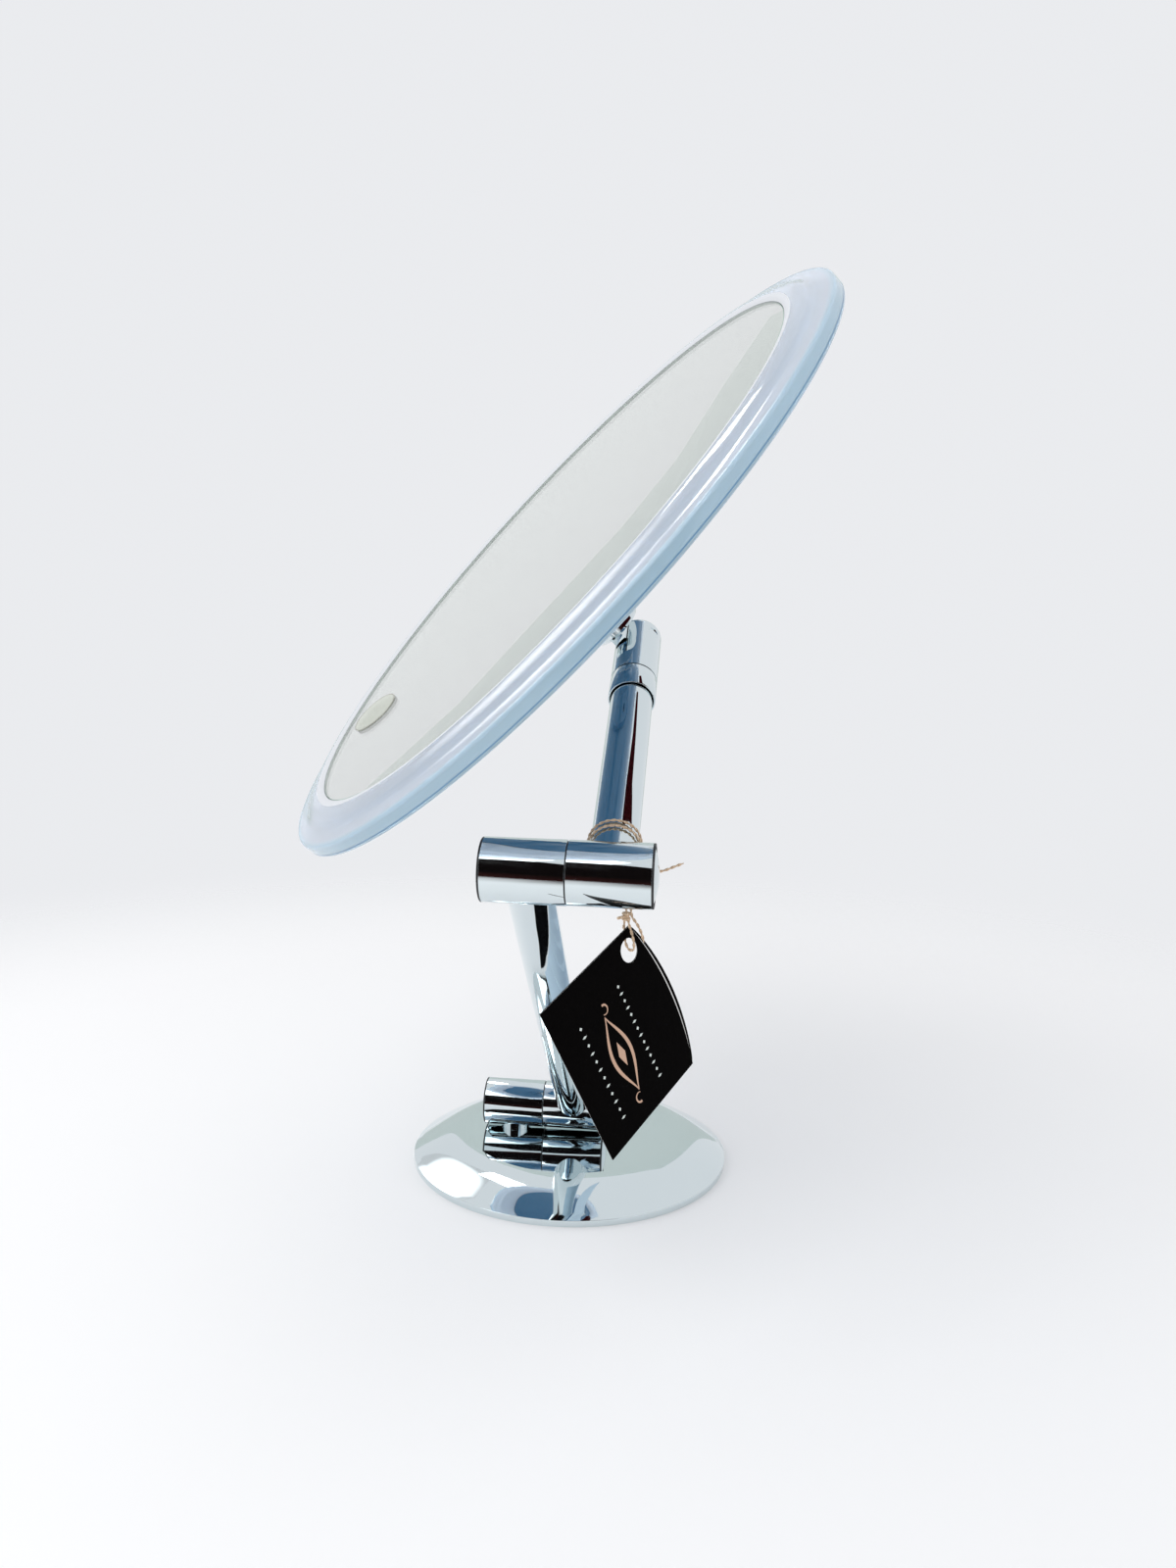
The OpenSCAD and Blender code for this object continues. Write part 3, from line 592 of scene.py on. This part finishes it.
# ---------------------------------------------------------------- dark gaskets under the end caps
GASKET = [(7.7, 0.0, 0), (8.3, 0.0, 0), (8.4, 0.1, 0), (8.4, 0.5, 0), (8.3, 0.6, 0), (7.7, 0.6, 0)]
GASKET_OUT, GASKET_STEPS = 0.0217, 96
for name, centre, side, body in (("elbow_gasket_right", elbow, 1, "upper_arm"),
                                 ("elbow_gasket_left", elbow, -1, "lower_arm"),
                                 ("base_gasket_right", base, 1, "lower_arm"),
                                 ("base_gasket_left", base, -1, "wall_plate")):
    at_end = (Matrix.Translation(centre + Vector((side * GASKET_OUT, 0, 0)))
              @ Matrix.Rotation(side * math.pi / 2, 4, "Y"))
    gasket = piece(name, lathe(name, GASKET, GASKET_STEPS), body, (), at_end)
    wear(gasket, DARK_NYLON)

# ---------------------------------------------------------------- rounded edges of the turned parts
WELD, ROUNDING = 0.000005, 0.00025
TURNED = ("base_half_fixed base_half_turning base_cap_left base_cap_right elbow_half_lower "
          "elbow_half_upper elbow_cap_left elbow_cap_right swivel_collar cover_plate")
for name in TURNED.split():
    weld = nodes[name].modifiers.new("weld", "WELD")
    weld.merge_threshold = WELD
    soft = nodes[name].modifiers.new("edges", "BEVEL")
    soft.width = ROUNDING
    soft.segments = 3
    soft.limit_method = "ANGLE"
    soft.angle_limit = math.radians(40)
    soft.harden_normals = True

# ---------------------------------------------------------------- floor, which fades away round the object
FLOOR_R, FADE_FROM, FADE_TO = 1.2, 0.30, 0.62
bm = bmesh.new()
bmesh.ops.create_circle(bm, cap_ends=True, cap_tris=True, segments=96, radius=FLOOR_R)
floor = bpy.data.objects.new("floor", finished_mesh("floor", bm))
scene.collection.objects.link(floor)
FLOOR, t, b = mottled("floor", 6, (0.945, 0.94, 0.935), (0.965, 0.96, 0.955),
                      Roughness=0.7, Specular_IOR_Level=0.2)
fade = add(t, "ShaderNodeMapRange", interpolation_type="SMOOTHSTEP")
fade.inputs["From Min"].default_value = FADE_FROM
fade.inputs["From Max"].default_value = FADE_TO
t.links.new(vector_math(t, "LENGTH", place(t)), fade.inputs["Value"])
clear = add(t, "ShaderNodeBsdfTransparent")
mixer = add(t, "ShaderNodeMixShader")
t.links.new(fade.outputs["Result"], mixer.inputs[0])
t.links.new(b.outputs[0], mixer.inputs[1])
t.links.new(clear.outputs[0], mixer.inputs[2])
t.links.new(mixer.outputs[0], next(n for n in t.nodes if n.type == "OUTPUT_MATERIAL").inputs[0])
wear(floor, FLOOR)

# ---------------------------------------------------------------- light
world = bpy.data.worlds.new("world")
scene.world = world
world.use_nodes = True
world.node_tree.nodes["Background"].inputs[0].default_value = (0.825, 0.836, 0.86, 1)
world.node_tree.nodes["Background"].inputs[1].default_value = 1.0
scene.view_settings.view_transform = "Standard"


def facing_card(centre, target, size):
    """The two rails of a rectangle that faces target."""
    turn = (Vector(target) - Vector(centre)).to_track_quat("Z", "Y")
    w, h = size[0] / 2, size[1] / 2
    return [[Vector(centre) + turn @ Vector((x, y, 0)) for x in (-w, w)] for y in (-h, h)]


def card(name, rails, colour, lower=None, glow=0.0):
    """A strip between two rails of points that only reflections see.

    lower is its colour towards the floor, and glow its brightness, which fades away from its middle.
    """
    LOWER_BELOW, COLOUR_ABOVE, GLOW_FULL, GLOW_GONE = -0.29, 0.16, 0.15, 0.5
    mesh = bpy.data.meshes.new(name)
    one, two = rails
    n = len(one)
    mesh.from_pydata([tuple(p) for p in one + two], [], [(i, i + 1, n + i + 1, n + i) for i in range(n - 1)])
    obj = bpy.data.objects.new(name, mesh)
    scene.collection.objects.link(obj)
    m, t, b = material(name, Base_Color=(*colour, 1), Roughness=1, Specular_IOR_Level=0)
    if glow:
        b.inputs["Emission Color"].default_value = (1, 1, 1, 1)
        middle = sum((Vector(p) for p in one + two), Vector()) / (2 * n)
        t.links.new(ramp(t, vector_math(t, "DISTANCE", place(t), middle), glow, 0, GLOW_FULL, GLOW_GONE),
                    b.inputs["Emission Strength"])
    if lower:
        height = add(t, "ShaderNodeSeparateXYZ")
        t.links.new(place(t), height.inputs[0])
        above = ramp(t, height.outputs["Z"], 0, 1, LOWER_BELOW, COLOUR_ABOVE)
        t.links.new(mix_colour(t, above, lower, colour), b.inputs["Base Color"])
    wear(obj, m)
    obj.visible_camera = False
    obj.visible_diffuse = False
    obj.visible_shadow = False
    obj.visible_transmission = False


# These rails weren't designed: they were traced, from the photograph's camera, off the tubes and the glass.
# So what they reflect fits that view alone, and shows as patches in others.
wall_top = [(-0.60, 0.71, 0.10), (-0.479, 0.713, 0.223), (-0.437, 0.716, 0.251), (-0.376, 0.719, 0.295),
            (-0.31, 0.719, 0.368), (-0.223, 0.719, 0.46), (-0.177, 0.715, 0.528), (-0.151, 0.705, 0.61),
            (-0.126, 0.707, 0.68), (0.25, 0.71, 0.68)]
wall_foot = [(x, y, 0.02) for x, y, _ in wall_top]
strip_left = [(0.0418, -0.0495, 0.2295), (0.0456, -0.0678, 0.2172), (0.0435, -0.0891, 0.2072),
              (0.0448, -0.1021, 0.1996), (0.0473, -0.1067, 0.1956)]
strip_right = [(0.047, -0.0475, 0.227), (0.0548, -0.063, 0.2109), (0.0603, -0.0798, 0.1949),
               (0.0668, -0.0853, 0.1772), (0.0686, -0.0864, 0.1684)]
wedge_left = [(0.017, -0.1207, 0.0877), (0.0148, -0.1146, 0.0817), (0.0117, -0.1096, 0.0763),
              (0.0074, -0.1022, 0.0691), (0.0058, -0.095, 0.0632), (0.0016, -0.088, 0.0574),
              (-0.0019, -0.0819, 0.053)]
wedge_right = [(0.0318, -0.0964, 0.1086), (0.0317, -0.0934, 0.0997), (0.0309, -0.0917, 0.0915),
               (0.0287, -0.0881, 0.0808), (0.0247, -0.0861, 0.0705), (0.0155, -0.0851, 0.0596),
               (0.0003, -0.0821, 0.0528)]
blue_left = [(0.0305, -0.0927, 0.1115), (0.0313, -0.0902, 0.1024), (0.0312, -0.0893, 0.0934),
             (0.0294, -0.0866, 0.082), (0.0257, -0.0848, 0.0715), (0.0183, -0.0836, 0.0608),
             (0.0052, -0.0798, 0.0512), (0.0074, -0.0645, 0.0396), (0.0088, -0.0467, 0.0259)]
blue_right = [(0.0179, -0.08, 0.1202), (0.0176, -0.0736, 0.1139), (0.0171, -0.068, 0.1085),
              (0.0173, -0.0605, 0.1006), (0.0174, -0.0539, 0.0937), (0.0179, -0.0476, 0.0869),
              (0.0167, -0.0394, 0.0798), (0.0171, -0.0259, 0.0658), (0.0168, -0.0094, 0.0498)]
card("front_flag", facing_card((0.0, -0.95, 0.26), (0.0, 0.0, 0.26), (1.6, 1.3)), (0.007, 0.005, 0.005),
     lower=(0.06, 0.016, 0.014))
card("tinted_wall", (wall_top, wall_foot), (0.64, 0.69, 0.66))
card("dark_strip", (strip_left, strip_right), (0.05, 0.006, 0.008))
card("dark_wedge", (wedge_left, wedge_right), (0.006, 0.006, 0.007))
card("blue_strip", (blue_left, blue_right), (0.66, 0.79, 0.90))
card("side_light", facing_card((-1.05, 0.62, 0.95), (0.0, 0.0, 0.2), (1.0, 1.0)), (0.8, 0.8, 0.8), glow=4.0)
card("window", facing_card((-0.375, 0.486, 0.893), (0.045, -0.144, 0.233), (0.14, 0.26)), (0.8, 0.8, 0.8),
     glow=7.5)

SOFTBOX_PLACE, SOFTBOX_TARGET = Vector((-0.62, -0.95, 1.2)), Vector((0, -0.05, 0.1))
lamp = bpy.data.lights.new("softbox", "AREA")
lamp.shape = "RECTANGLE"
lamp.size, lamp.size_y = 1.4, 1.0
lamp.energy = 8.0
softbox = bpy.data.objects.new("softbox", lamp)
scene.collection.objects.link(softbox)
softbox.location = SOFTBOX_PLACE
softbox.rotation_mode = "QUATERNION"
softbox.rotation_quaternion = (SOFTBOX_TARGET - SOFTBOX_PLACE).to_track_quat("-Z", "Y")
